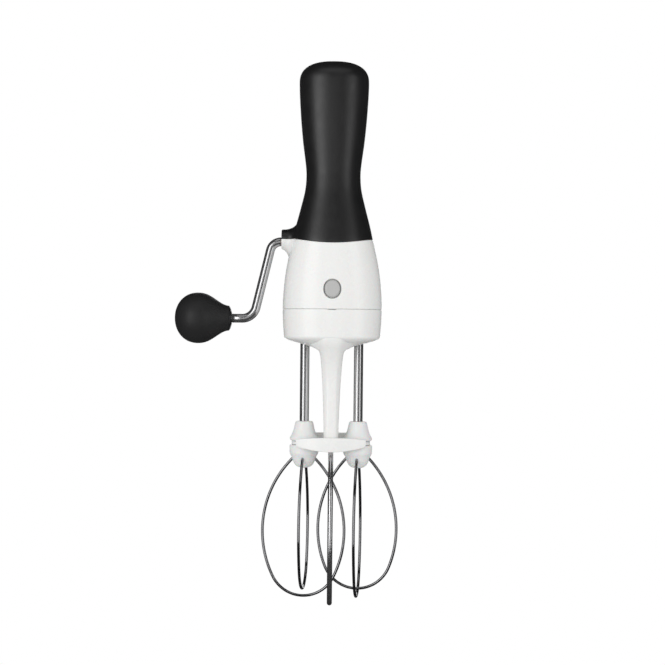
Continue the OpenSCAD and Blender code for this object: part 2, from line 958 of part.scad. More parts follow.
module beater_shaft(s) {
    color("#c9cdd0")
        difference() {
            union() {
                post(shaft_r, -159, cover_top + 0.2, s * shaft_x);
                hex_bar(hex_shaft, cover_top, -71.2, s * shaft_x);
            }
            rod_groove(shaft_r, 0.5, -87.2, -86.4, s * shaft_x);
        }
}

module left_shaft() beater_shaft(-1);
module right_shaft() beater_shaft(1);

module shaft_clip(s) {
    color("#808488")
        clip(shaft_r - 0.5, shaft_r + 1.8, -87.2, -86.4, s * shaft_x);
}

module left_shaft_clip() shaft_clip(-1);
module right_shaft_clip() shaft_clip(1);

module cone(s) {
    color("#e8e8e4")
        translate([s * shaft_x, 0, 0])
            rotate_extrude()
                polygon([
                    [shaft_r, -137.7], [4.4, -137.7], [5, -138.3], [5.9, -142.5], [7, -145.5],
                    [8, -146.9], [8, -147.7], [7.4, -148.7], [neck_r, -148.7], [neck_r, -147.7],
                    [shaft_r, -147.7]
                ]);
}

module left_cone() cone(-1);
module right_cone() cone(1);

module hub(s) {
    color("#d9d9d4")
        difference() {
            translate([s * shaft_x, 0, 0])
                rotate_extrude()
                    polygon([
                        [0, -159], [shaft_r, -159], [shaft_r, -147.7], [neck_r, -147.7],
                        [neck_r, -151], [hub_flange_r, -151], [hub_flange_r, -155.7],
                        [6.9, -157.7], [6.2, -160], [5.2, -162], [3.6, -163.4], [1.5, -163.9],
                        [0, -163.9]
                    ]);
            loop_outer(s);
            loop_inner(s);
        }
}

module left_hub() hub(-1);
module right_hub() hub(1);

// The outer loop of the left beater faces the front, and the right beater stands a quarter turn round
function loop_angle(s) = -beater_turn + (s > 0 ? 90 : 0);

module loop_outer(s) {
    translate([s * shaft_x, 0, 0])
        rotate([0, 0, loop_angle(s)])
            wire_loop(outer_loop_r, loop_mid, loop_side_r, outer_bottom, loop_top, wire_r);
}

module loop_inner(s) {
    translate([s * shaft_x, 0, 0])
        rotate([0, 0, loop_angle(s) + 90])
            wire_loop(inner_loop_r, inner_mid, inner_side_r, inner_bottom, loop_top, wire_r);
}

module left_outer_loop() color("#c9cdd0") loop_outer(-1);
module right_outer_loop() color("#c9cdd0") loop_outer(1);
module left_inner_loop() color("#c9cdd0") loop_inner(-1);
module right_inner_loop() color("#c9cdd0") loop_inner(1);

grip();
handle_core();
core_screws();
upper_housing();
gear_frame();
frame_screws();
crank_bush();
left_drive_bush();
right_drive_bush();
button_retainer();
release_button();
button_spring();
crank_rod();
left_drive_gear();
right_drive_gear();
gear_pins();
crank_clips();
knob_grip();
knob_core();
knob_clip();
left_pinion();
right_pinion();
left_coupler();
right_coupler();
left_coupler_clip();
right_coupler_clip();
lower_housing();
lower_cover();
cover_screws();
release_tongue();
seal_ring();
crossbar();
bar_screw();
guard_wire();
left_shaft_bush();
right_shaft_bush();
left_bar_bush();
right_bar_bush();
left_shaft();
right_shaft();
left_shaft_clip();
right_shaft_clip();
left_cone();
right_cone();
left_hub();
right_hub();
left_outer_loop();
right_outer_loop();
left_inner_loop();
right_inner_loop();
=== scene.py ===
"""Looks of the hand-crank egg beater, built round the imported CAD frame.

Z is up, the beaters point down, the crank leaves toward -X and the release button faces -Y.
Shapes are worked out in millimetres, and a piece's mesh is written in metres.
"""

import math

import bmesh
import bpy
from mathutils import Matrix, Vector


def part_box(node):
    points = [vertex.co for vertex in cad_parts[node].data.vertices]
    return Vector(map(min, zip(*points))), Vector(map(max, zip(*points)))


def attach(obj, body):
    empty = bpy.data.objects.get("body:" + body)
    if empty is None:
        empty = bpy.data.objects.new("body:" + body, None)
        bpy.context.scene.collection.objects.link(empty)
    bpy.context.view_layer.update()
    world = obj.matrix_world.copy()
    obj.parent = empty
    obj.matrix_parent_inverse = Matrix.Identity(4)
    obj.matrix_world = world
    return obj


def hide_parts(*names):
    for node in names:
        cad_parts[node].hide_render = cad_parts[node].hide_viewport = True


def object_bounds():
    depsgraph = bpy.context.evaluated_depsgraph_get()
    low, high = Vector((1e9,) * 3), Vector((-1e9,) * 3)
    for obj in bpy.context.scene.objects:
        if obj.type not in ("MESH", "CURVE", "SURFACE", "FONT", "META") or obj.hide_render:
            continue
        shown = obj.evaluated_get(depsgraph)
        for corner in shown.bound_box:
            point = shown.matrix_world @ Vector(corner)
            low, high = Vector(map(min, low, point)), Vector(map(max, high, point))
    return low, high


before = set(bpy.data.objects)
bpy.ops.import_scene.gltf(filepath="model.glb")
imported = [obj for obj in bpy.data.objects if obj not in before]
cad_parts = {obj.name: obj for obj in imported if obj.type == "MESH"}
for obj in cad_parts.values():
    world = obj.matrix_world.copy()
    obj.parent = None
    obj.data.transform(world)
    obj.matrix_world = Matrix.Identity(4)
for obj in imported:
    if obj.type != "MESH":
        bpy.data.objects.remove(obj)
cad_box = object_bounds()

MM = 0.001
MERGE = 0.002  # points closer than this are one, in millimetres


def top_of(node):
    """Height of a CAD node's highest point, in millimetres."""
    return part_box(node)[1].z / MM


# ---- Sizes, in millimetres ----

# Body: height, half width and half depth, from the grip down to the flattened bottom
STATIONS = [
    (52, 19.5, 17.2), (36, 18.8, 16.8), (20, 17.4, 15.8), (6, 15.6, 14.6), (0, 15.2, 14.3),
    (-8, 15.8, 14.8), (-18, 18.1, 16.5), (-28, 20.7, 18.5), (-37, 22.7, 20.2), (-48, 25.2, 21.2),
    (-60, 27.0, 21.8), (-75, 27.8, 22.2), (-90, 27.0, 21.6), (-91.2, 26.4, 21.1), (-92.3, 24.4, 19.6),
    (-93.4, 20.9, 17.4), (-94.6, 16.4, 14.9), (-95.7, 12.6, 12.8), (-97.2, 8.9, 10.4), (-98.2, 7, 8.6),
]
PLAN_POWER = 2.4  # between an ellipse's 2 and a box
DOME_POWER = 2.5
DOME_Z = STATIONS[0][0]
GRIP_TOP = top_of("grip")
BOTTOM_TURN = -90.0  # below it the body turns in to its bottom
RUBBER = 2.0
WALL = 2.2
SEAM_Z = -75.0
SEAM_GAP = 0.15
BODY_COLUMNS = 192
FRONT_COLUMN = 3 * BODY_COLUMNS // 4

# Border between the rubber and the housing, which sinks from the sides to the front and back
BORDER_Z = -35.9
BORDER_DIP = 2.5
BORDER_HALF = 22.6
INNER_TOP = BORDER_Z - 6  # where the housing's inner skin ends

# Moulded edges: how far the surface turns in at each distance from the edge
EDGE = [(0.6, 0.0), (0.35, 0.05), (0.14, 0.16), (0.0, 0.42)]
SEAM_EDGE = [(0.22, 0.0), (0.12, 0.02), (0.04, 0.07), (0.0, 0.15)]

# Crank boss, with the seat of its bush
BOSS_R = 5.6
BOSS_Z = -35.9
BOSS_X = -28.8
BOSS_EDGE_R = 0.7
BOSS_TUCK = (0.5, 0.25)  # how far the fillet's last row goes out along the body, and in under it
BUSH_R = 3.4
SEAT_DEPTH = 2.5

# Fillet between boss and body: on the boss's sides, what its top adds and what its underside adds
FILLET_LENGTH = (3.1, 2.4, 1.2)
FILLET_RISE = (3.1, 0.1, 1.3)
FILLET_STRAIGHT = (0.0, 0.2, 0.55)

# Crank rod
CRANK_Z = -37.2
ROD_R = 2.25
ROD_BENT_R = 2.5
ROD_BENT_X = -56.1
ROD_CHAMFER = 0.15
ROD_BEND_1 = 6.2
ROD_BEND_2 = 8.0
ROD_BEND_X = -29.0
ROD_IN_X = 14.0
ROD_OUT_X = -85.4
CRANK_LEAN = math.radians(13.5)

# Knob on the crank
KNOB_Z = -80.4
KNOB_R = 14.2
KNOB_MID_X = -75.4
KNOB_END_X = -57.7
KNOB_NOSE = 12.9
KNOB_POWER = 2.1
KNOB_TAPER = 1.2  # above 1 the knob narrows nearer to its neck
KNOB_NECK = 7.0
KNOB_EDGE = [(0.35, 0.0), (0.1, 0.08), (0.0, 0.35)]  # distance from the end, and how far it turns in

# The knob's core, and the collar on it: distance from the knob's end, and radius
CORE_X = -84.0
CORE_R = 5.0
CORE_BORE_R = 2.3
COLLAR = [(0.0, 6.6), (0.5, 6.1), (1.4, 3.2), (1.4, CORE_BORE_R)]
COLLAR_CORNER = 0.5

# Release button
BUTTON_Z = -63.9
BUTTON_R = 4.25
BUTTON_H = 0.55
OVAL_POWER = 0.5  # how fast the oval's halves part, away from its sides
BUTTON_GAP = 0.65
BUTTON_FRONT = -22.4
BUTTON_FACE = [(0.01, 0.08), (1.2, 0.08), (2.4, 0.06)]  # radius and depth
BUTTON_BEVEL = [(0.95, 0.0), (0.75, 0.04), (0.3, 0.3), (0.08, 0.6), (0.0, 0.95)]  # inset and depth
BUTTON_FLANGE_R = 6.6
BUTTON_FLANGE_Y = -18.9
BUTTON_FLANGE_T = 1.2
BUTTON_STEM_R = 1.6
BUTTON_STEM_END = -11.8
BUTTON_STEM_CHAMFER = 0.3

# The button's well, and the window that it takes in the housing's grid
WELL_FILLET = 0.35
WELL_END = -17.0
WINDOW_MARGIN = 3.2

# Lower housing: its lip inside the upper one as height and inset, then its rim and its inside
LOWER_RIM = SEAM_Z - SEAM_GAP
LOWER_WALL = 3.5
LIP = [(-72.5, LOWER_WALL), (-72.5, 2.5), (-72.7, 2.35), (LOWER_RIM - 0.6, 2.35)]
RIM_BAND = 2.2
INNER_SIDE = (-79.0, -89.5)
INNER_FLOOR = -90.2
BOTTOM_SAG = 0.1
SHAFT_HOLE = (4.2, -100.0, -85.0)  # radius and heights
NOTCH_HALF = 2.6
NOTCH_EDGE = 0.5
NOTCH_DEPTH = 0.35

# Column: height, half width, half width of its front face, and the depth of that face
COLUMN = [
    (-89.6, 14, 5, -21.4), (-92, 14, 5.2, -21.1), (-94.2, 13, 5, -20.3), (-95.6, 11.4, 4.6, -19.5),
    (-97, 8.9, 4.2, -18.6), (-98.5, 7, 3.8, -17.7), (-104, 6, 3.2, -14.9), (-110, 5.5, 2.9, -13.1),
    (-116, 5.1, 2.6, -12.2), (-127, 4.6, 2.4, -11.7), (-139, 4.2, 2.4, -11.7), (-149.1, 4.1, 2.4, -11.7),
]
COLUMN_EDGE = 1.6
COLUMN_BACK = 3.5
COLUMN_CORNER = (1.0, 2.6)  # on the shank, and where the top flares out
COLUMN_ROWS = 1.6  # above 1 the rows stand closer together at the top
FLARE_Z = -110.0
FLARE_RISE = 18.0

# Crossbar
BAR_TOP = -146.4
BAR_END_TOP = -147.5
BAR_BOTTOM = -154.3
BAR_END_BOTTOM = -151.6
BAR_BACK_TOP = -144.8
BAR_ARC_R = 45.4
BAR_HALF_Y = 13.4
BAR_HALF_X = 19.5
BAR_WALL = 1.6
BAR_EDGE = 0.5
BAR_CORNER = 1.6
BAR_CORNER_LOW = 1.1
BAR_CORNER_TOP = 0.2
PLATE_TOP = -148.9
PLATE_BOTTOM = -150.8
PLATE_MARGIN = 0.4
RING_R = 6.9
RING_BORE_R = 5.4
RING_EDGE = 0.35
RING_HOLE = (RING_R - 0.6, -160.0, -140.0)  # radius and heights

# Block that holds the guard's ends; its lower edge is given as scale and height above the bottom
BLOCK_HALF_X = 3.8
BLOCK_HALF_Y = 10.8
BLOCK_CORNER = 1.2
BLOCK_TOP = PLATE_BOTTOM + 0.2
BLOCK_BOTTOM = -154.4
BLOCK_EDGE = [(1, 0.5), (0.985, 0.15), (0.95, 0), (0, 0)]

# Beaters; the cone above the crossbar and the hub below it are outlines of radius and height
SHAFT_X = 15.1
SHAFT_R = 2.6
SHAFT_BOTTOM = -159.0
SHAFT_ROUND_TOP = -75.8
SHAFT_CHAMFER = 0.3
SHAFT_HEX = 4.4
SHAFT_HEX_BOTTOM = -76.0
SHAFT_TOP = -71.2
SHAFT_TIP = (0.82, 0.5)  # scale and height of the hexagon's chamfer
NECK_R = 4.0
CONE = [
    (SHAFT_R, -147.7), (SHAFT_R, -137.7), (4.4, -137.7), (5.0, -138.3), (5.9, -142.5),
    (7, -145.5), (8, -146.9), (8, -147.7), (7.4, -148.7), (NECK_R, -148.7),
]
CONE_CORNER = 0.8
HUB = [
    (NECK_R, -148.5), (NECK_R, -151), (8.1, -151), (8.1, -155.7), (6.9, -157.7),
    (6.2, -160), (5.2, -162), (3.6, -163.4), (1.5, -163.9), (0, -163.9),
]
HUB_CORNER = 0.7
BEATER_TURN = math.radians(5.6)

# Wire loops: half width, height of the widest point, radius of the side arcs, lowest and highest point
WIRE_R = 0.8
LOOP_TOP = -156.6
OUTER_LOOP = (23.1, -199.5, 58.0, -235.8, LOOP_TOP)
INNER_LOOP = (22.1, -198.0, 57.5, -231.5, LOOP_TOP)
GUARD_R = 1.43
GUARD_LOOP = (22.2, -200.0, 75.0, -241.0 + GUARD_R, -150.5)


# ---- Small maths ----

def spread(a, b, steps):
    """Evenly spaced values from a to b."""
    return [a + (b - a) * i / steps for i in range(steps + 1)]


def mix(a, b, t):
    return a + (b - a) * t


def ease(t):
    t = min(max(t, 0.0), 1.0)
    return t * t * (3 - 2 * t)


def power(value, exponent):
    """Power that keeps the sign."""
    return math.copysign(abs(value) ** exponent, value)


def smooth_at(table, z, column):
    """Value of a column at height z, on a smooth curve through the table's rows, which run downward."""
    def slope(n):
        a, b = table[max(n - 1, 0)], table[min(n + 1, len(table) - 1)]
        return 0.0 if n == 0 else (b[column] - a[column]) / (b[0] - a[0])

    i = max(n for n in range(len(table) - 1) if n == 0 or table[n][0] >= z)
    a, b = table[i], table[i + 1]
    h = b[0] - a[0]
    t = (z - a[0]) / h
    return (
        a[column] * (2 * t**3 - 3 * t * t + 1) + h * slope(i) * (t**3 - 2 * t * t + t)
        + b[column] * (3 * t * t - 2 * t**3) + h * slope(i + 1) * (t**3 - t * t)
    )


def arc(cx, cy, r, a0, a1, steps):
    """Points of an arc, angles in radians."""
    return [(cx + r * math.cos(a), cy + r * math.sin(a)) for a in spread(a0, a1, steps)]


def rounded(points, radius, steps=4, closed=False):
    """The same outline with its corners rounded."""
    n = len(points)
    out = []
    for i, p in enumerate(points):
        if not closed and i in (0, n - 1):
            out.append(tuple(p))
            continue
        here = Vector(p)
        before, after = Vector(points[i - 1]) - here, Vector(points[(i + 1) % n]) - here
        a = here + before.normalized() * min(radius, before.length * 0.45)
        b = here + after.normalized() * min(radius, after.length * 0.45)
        for t in spread(0, 1, steps):
            out.append(tuple(a * (1 - t) ** 2 + here * 2 * t * (1 - t) + b * t * t))
    return out


# ---- Building a piece ----

class Shell:
    """Collects points and faces for one piece, in millimetres."""

    def __init__(self):
        self.points = []
        self.faces = []

    def rows(self, rows, closed=True, gap=(0, 0, 0, 0)):
        """Joins rows of equal length with quads; the points of a closed row go round.

        gap leaves out the quads between its two rows and its two columns: top, bottom, left, right.
        """
        base, n = len(self.points), len(rows[0])
        top, bottom, left, right = gap
        for row in rows:
            self.points.extend(row)
        for r in range(len(rows) - 1):
            for i in range(n if closed else n - 1):
                if top <= r < bottom and left <= i < right:
                    continue
                a, b = base + r * n + i, base + r * n + (i + 1) % n
                self.faces.append((a, b, b + n, a + n))

    def lathe_z(self, profile, x=0.0, count=72):
        """Turns (radius, height) pairs about an upright axis."""
        self.rows([[(x + r * math.cos(a), r * math.sin(a), z) for a in turn(count)] for r, z in profile])

    def lathe_x(self, profile, z, count=96):
        """Turns (x, radius) pairs about an axis along X."""
        self.rows([[(x, r * math.cos(a), z + r * math.sin(a)) for a in turn(count)] for x, r in profile])

    def sweep(self, path, radii, angle=0.0, x=0.0, count=20):
        """Round wire along a path of (x, z) points, turned by angle about the upright axis at x.

        radii is one number, or a list with one number for each point.
        """
        if not isinstance(radii, list):
            radii = [radii] * len(path)
        rows = []
        for i, (p, radius) in enumerate(zip(path, radii)):
            ahead, behind = path[min(i + 1, len(path) - 1)], path[max(i - 1, 0)]
            along = Vector((ahead[0] - behind[0], ahead[1] - behind[1])).normalized()
            row = []
            for a in turn(count):
                side, depth = radius * math.cos(a), radius * math.sin(a)
                px, pz = p[0] + side * along.y, p[1] - side * along.x
                row.append((
                    x + px * math.cos(angle) - depth * math.sin(angle),
                    px * math.sin(angle) + depth * math.cos(angle),
                    pz,
                ))
            rows.append(row)
        for end, row in ((path[0], rows[0]), (path[-1], rows[-1])):
            centre = (x + end[0] * math.cos(angle), end[0] * math.sin(angle), end[1])
            self.rows([[centre] * count, row])
        self.rows(rows)

    def mesh(self, name):
        """The shell as a mesh in metres, with doubled points merged and its faces turned outward."""
        mesh = bpy.data.meshes.new(name)
        mesh.from_pydata([(x * MM, y * MM, z * MM) for x, y, z in self.points], [], self.faces)
        bm = bmesh.new()
        bm.from_mesh(mesh)
        bmesh.ops.remove_doubles(bm, verts=bm.verts, dist=MERGE * MM)
        bmesh.ops.recalc_face_normals(bm, faces=bm.faces)
        bm.to_mesh(mesh)
        bm.free()
        return mesh

    def piece(self, name, body, slot, replaced, sharp=35, look=None):
        """Makes the object and fits it into the frame; look is its finish where that isn't its slot's."""
        mesh = self.mesh(name)
        mesh.shade_smooth()
        mesh.set_sharp_from_angle(angle=math.radians(sharp))
        mesh.materials.append(FINISHES[look or slot])
        piece = bpy.data.objects.new(name, mesh)
        bpy.context.scene.collection.objects.link(piece)
        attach(piece, body)
        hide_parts(*replaced)
        return piece


def turn(count):
    """Angles of one full turn."""
    return [2 * math.pi * i / count for i in range(count)]


# ---- Materials ----

PATCH_SCALE = 45  # per metre
NOISE_DETAIL = 3.0
NOISE_RANGE = (0.3, 0.7)  # most noise values lie in it


def noise(tree, scale, stretch):
    """Noise value in the piece's own space, so that it moves with the piece; scale is per metre."""
    coords = tree.nodes.new("ShaderNodeTexCoord")
    mapping = tree.nodes.new("ShaderNodeMapping")
    mapping.inputs["Scale"].default_value = stretch
    texture = tree.nodes.new("ShaderNodeTexNoise")
    texture.inputs["Scale"].default_value = scale
    texture.inputs["Detail"].default_value = NOISE_DETAIL
    tree.links.new(coords.outputs["Object"], mapping.inputs["Vector"])
    tree.links.new(mapping.outputs["Vector"], texture.inputs["Vector"])
    return texture.outputs["Fac"]


def finish(name, colour, roughness, change, rough_change, relief, stretch=(1, 1, 1), **constants):
    """Principled material whose colour, roughness and relief vary with noise.

    change and rough_change are the shares by which colour and roughness vary; relief is a list of
    (noise scale per metre, height in millimetres).
    """
    material = bpy.data.materials.new(name)
    material.use_nodes = True
    tree = material.node_tree
    shader = tree.nodes["Principled BSDF"]
    for socket, value in constants.items():
        shader.inputs[socket.replace("_", " ")].default_value = value

    tint = tree.nodes.new("ShaderNodeMix")
    tint.data_type = "RGBA"
    tint.inputs["A"].default_value = [c * (1 - change) for c in colour] + [1]
    tint.inputs["B"].default_value = [min(c * (1 + change), 1) for c in colour] + [1]
    tree.links.new(noise(tree, PATCH_SCALE, stretch), tint.inputs["Factor"])
    tree.links.new(tint.outputs["Result"], shader.inputs["Base Color"])

    shine = tree.nodes.new("ShaderNodeMapRange")
    shine.inputs["From Min"].default_value, shine.inputs["From Max"].default_value = NOISE_RANGE
    shine.inputs["To Min"].default_value = roughness * (1 - rough_change)
    shine.inputs["To Max"].default_value = roughness * (1 + rough_change)
    tree.links.new(noise(tree, PATCH_SCALE * 4, stretch), shine.inputs["Value"])
    tree.links.new(shine.outputs["Result"], shader.inputs["Roughness"])

    normal = None
    for scale, height in relief:
        bump = tree.nodes.new("ShaderNodeBump")
        bump.inputs["Strength"].default_value = 1.0
        bump.inputs["Distance"].default_value = height * MM
        tree.links.new(noise(tree, scale, stretch), bump.inputs["Height"])
        if normal:
            tree.links.new(normal, bump.inputs["Normal"])
        normal = bump.outputs["Normal"]
    if normal:
        tree.links.new(normal, shader.inputs["Normal"])
    return material


FINISHES = {
    # Soft-touch rubber: fine spark-eroded grain, slightly mottled, with a faint dusty sheen
    "soft_rubber": finish(
        "soft_touch_rubber", (0.0048, 0.0048, 0.0052), roughness=0.42,
        change=0.16, rough_change=0.08, relief=[(2600, 0.014), (700, 0.006)],
        Sheen_Weight=0.01, Sheen_Roughness=0.5, Specular_IOR_Level=0.82),
    # The knob's rubber is duller than the grip's
    "knob_rubber": finish(
        "dull_rubber", (0.0135, 0.0135, 0.014), roughness=0.52,
        change=0.12, rough_change=0.08, relief=[(2600, 0.014), (700, 0.006)],
        Specular_IOR_Level=0.36),
    "pale_silicone": finish(
        "pale_silicone", (0.72, 0.72, 0.70), roughness=0.5,
        change=0.03, rough_change=0.1, relief=[(900, 0.008)]),
    "black_plastic": finish(
        "satin_black_plastic", (0.009, 0.009, 0.010), roughness=0.34,
        change=0.1, rough_change=0.12, relief=[(1400, 0.008)]),
    # Glossy ABS: polished tool marks soften the reflections very slightly
    "white_plastic": finish(
        "glossy_white_plastic", (0.75, 0.75, 0.738), roughness=0.27,
        change=0.006, rough_change=0.08, relief=[(260, 0.002), (1500, 0.0006)],
        Coat_Weight=0.12, Coat_Roughness=0.16, Specular_IOR_Level=0.34,
        Subsurface_Weight=0.06, Subsurface_Scale=0.002),
    "inner_plastic": finish(
        "matt_inner_plastic", (0.66, 0.66, 0.63), roughness=0.5,
        change=0.03, rough_change=0.1, relief=[(900, 0.01)]),
    "grey_plastic": finish(
        "satin_grey_plastic", (0.43, 0.43, 0.423), roughness=0.36,
        change=0.03, rough_change=0.12, relief=[(1500, 0.008)]),
    # Natural nylon: light passes a little way in, and the surface is frosted by the mould
    "frosted_nylon": finish(
        "frosted_nylon", (0.72, 0.725, 0.72), roughness=0.42,
        change=0.03, rough_change=0.12, relief=[(1100, 0.012)],
        Subsurface_Weight=0.25, Subsurface_Scale=0.003),
    "gear_nylon": finish(
        "gear_nylon", (0.74, 0.70, 0.60), roughness=0.4,
        change=0.04, rough_change=0.15, relief=[(900, 0.01)],
        Subsurface_Weight=0.1, Subsurface_Scale=0.002),
    # Polished rod: colour and roughness vary in faint upright streaks
    "polished_steel": finish(
        "polished_steel", (0.54, 0.54, 0.545), roughness=0.2,
        change=0.03, rough_change=0.1, relief=[], stretch=(1, 1, 0.04),
        Metallic=0.93),
    "wire_steel": finish(
        "bright_wire_steel", (0.34, 0.34, 0.35), roughness=0.11,
        change=0.04, rough_change=0.1, relief=[], Metallic=1.0),
    # The guard's thicker wire is less polished than the loops, and its steel is painted paler to stand in
    # for the light it reflects at the front
    "guard_steel": finish(
        "wire_steel_with_painted_light", (0.70, 0.70, 0.71), roughness=0.2,
        change=0.04, rough_change=0.1, relief=[], Metallic=1.0),
    "bush_brass": finish(
        "sintered_bush", (0.62, 0.47, 0.25), roughness=0.35,
        change=0.08, rough_change=0.2, relief=[(2000, 0.01)], Metallic=1.0),
    "fastener_steel": finish(
        "zinc_plated_steel", (0.60, 0.61, 0.62), roughness=0.3,
        change=0.08, rough_change=0.25, relief=[(600, 0.004)], Metallic=1.0),
}


def finish_frame_nodes():
    """Gives every CAD node that stays the finish of its slot, whose name its CAD material has."""
    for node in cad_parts.values():
        for holder in node.material_slots:
            holder.material = FINISHES.get(holder.material.name, FINISHES["inner_plastic"])


# ---- Body surface ----

def plan_point(w, d, angle):
    """Point of the body's plan, with half width w and half depth d."""
    return (
        w * power(math.cos(angle), 2 / PLAN_POWER),
        d * power(math.sin(angle), 2 / PLAN_POWER),
    )


def plan_share(share):
    """How far out the plan's other side is, as a share, at a share of the way out on this side."""
    return (1 - abs(share) ** PLAN_POWER) ** (1 / PLAN_POWER)


def half_width(z):
    return smooth_at(STATIONS, z, 1)


def half_depth(z):
    return smooth_at(STATIONS, z, 2)


def body_point(z, angle, inset=0.0):
    """Point of the body's surface; angle 0 is toward +X."""
    return (*plan_point(half_width(z) - inset, half_depth(z) - inset, angle), z)


def body_row(z, inset=0.0):
    return [body_point(z, a, inset) for a in turn(BODY_COLUMNS)]


def body_front(x, z):
    """Y of the body's front surface."""
    return -half_depth(z) * plan_share(x / half_width(z))


def body_left(y, z):
    """X of the body's left surface."""
    return -half_width(z) * plan_share(y / half_depth(z))


def border_at(angle):
    """Height of the border between rubber and housing."""
    x = body_point(BORDER_Z, angle)[0]
    return BORDER_Z - BORDER_DIP * math.cos(math.pi / 2 * min(abs(x) / BORDER_HALF, 1))


# ---- Crank boss ----

def boss_half(shell, start):
    """Half of the boss, from the bush seat over its face and wall to the fillet that runs onto the body.

    The half starts at angle start and goes round by half a turn; 0 is the upper half.
    """
    turns = [offset / BOSS_R for offset, _ in reversed(EDGE)]
    middle = spread(turns[-1], math.pi - turns[-1], 40)[1:-1]
    angles = [(t, edge_inset(t * BOSS_R)) for t in turns]
    angles += [(t, 0.0) for t in middle]
    angles += [(math.pi - t, inset) for t, inset in reversed(angles[:len(turns)])]
    lift = math.asin((BOSS_Z - CRANK_Z) / BUSH_R) * (1 if start == 0 else -1)

    def seat(t):
        """Point of the bush seat's circle at the same share of the half turn."""
        a = start + mix(lift, math.pi - lift, t / math.pi)
        return BUSH_R * math.cos(a), CRANK_Z + BUSH_R * math.sin(a)

    def wall(t, r):
        return r * math.cos(start + t), BOSS_Z + r * math.sin(start + t)

    rows = [[(x, *seat(t)) for t, _ in angles] for x in (BOSS_X + SEAT_DEPTH, BOSS_X)]
    rows.append([(BOSS_X, *wall(t, BOSS_R - BOSS_EDGE_R - inset)) for t, inset in angles])
    for a in spread(0, math.pi / 2, 5)[1:]:
        r, x = BOSS_R - BOSS_EDGE_R * (1 - math.sin(a)), BOSS_X + BOSS_EDGE_R * (1 - math.cos(a))
        rows.append([(x, *wall(t, r - inset)) for t, inset in angles])
    for share in spread(0, 1, 14):
        row = []
        for t, inset in angles:
            along, rise, straight = boss_fillet(math.sin(start + t))
            back = mix(1 - math.sin(share * math.pi / 2), 1 - share, straight)
            out = mix(1 - math.cos(share * math.pi / 2), share, straight)
            y, z = wall(t, BOSS_R + rise * out - inset * (1 - out))
            row.append((body_left(y, z) - along * back + inset * (1 - back), y, z))
        rows.append(row)
    tuck_out, tuck_in = BOSS_TUCK
    tuck = []
    for t, inset in angles:
        y, z = wall(t, BOSS_R + boss_fillet(math.sin(start + t))[1] + tuck_out)
        tuck.append((body_left(y, z) + tuck_in + inset, y, z))
    rows.append(tuck)
    shell.rows(rows, closed=False)


def boss_fillet(up):
    """Fillet between boss and body: its length along the boss, its rise, and how straight its slope is.

    up is 1 on top of the boss, 0 on its sides and -1 below it.
    """
    over, under = max(up, 0.0), max(-up, 0.0)
    parts = (FILLET_LENGTH, FILLET_RISE, FILLET_STRAIGHT)
    return [side + top * over + bottom * under for side, top, bottom in parts]


def edge_inset(distance):
    """How far a moulded edge turns in at a distance from it."""
    for (d1, i1), (d0, i0) in zip(EDGE, EDGE[1:]):
        if distance >= d1:
            return i1
        if distance >= d0:
            return mix(i0, i1, (distance - d0) / (d1 - d0))
    return EDGE[-1][1]


# ---- Handle ----

def make_grip():
    """Domed top, outside down to the border, the edge that turns in there, and half of the crank boss."""
    shell = Shell()
    columns = turn(BODY_COLUMNS)
    height = GRIP_TOP - DOME_Z
    rows = []
    for t in spread(math.pi / 2, 0, 36)[:-1]:
        f, g = power(math.cos(t), 2 / DOME_POWER), power(math.sin(t), 2 / DOME_POWER)
        z = DOME_Z + height * g
        w, d = STATIONS[0][1] * f, STATIONS[0][2] * f
        rows.append([(*plan_point(w, d, a), z) for a in columns])
    for v in spread(0, 1, 96):
        rows.append([body_point(mix(DOME_Z, border_at(a) + EDGE[0][0], v), a) for a in columns])
    for up, inset in EDGE[1:]:
        rows.append([body_point(border_at(a) + up, a, inset) for a in columns])
    rows.append([body_point(border_at(a), a, RUBBER) for a in columns])
    shell.rows(rows)
    boss_half(shell, 0)
    shell.piece("grip_skin", "handle_unit", "soft_rubber", ["grip"])


def housing_height(v, angle):
    """Height of the upper housing's outside at share v of the way down; the border's dip fades out."""
    low = SEAM_Z + SEAM_GAP + SEAM_EDGE[0][0]
    flat = mix(BORDER_Z - EDGE[0][0], low, v)
    return flat + (border_at(angle) - BORDER_Z) * (1 - v) ** 3


def oval_point(angle, r, stretch=BUTTON_H):
    """Point (x, z) of the button's oval: a circle of radius r whose halves stand apart by stretch."""
    x, z = r * math.cos(angle), BUTTON_Z + r * math.sin(angle)
    return x, z + stretch * power(math.sin(angle), OVAL_POWER)


def nearest(values, target):
    """Index of the value that is nearest to the target."""
    return min(range(len(values)), key=lambda i: abs(values[i] - target))


def button_window(rows):
    """Rows and columns of the housing's grid that the button's well takes up: top, bottom, left, right."""
    reach = BUTTON_R + BUTTON_GAP + WINDOW_MARGIN
    heights = [row[FRONT_COLUMN][2] for row in rows]
    top, bottom = nearest(heights, BUTTON_Z + reach), nearest(heights, BUTTON_Z - reach)
    half = nearest([rows[top][FRONT_COLUMN + i][0] for i in range(BODY_COLUMNS // 8)], reach)
    return top, bottom, FRONT_COLUMN - half, FRONT_COLUMN + half


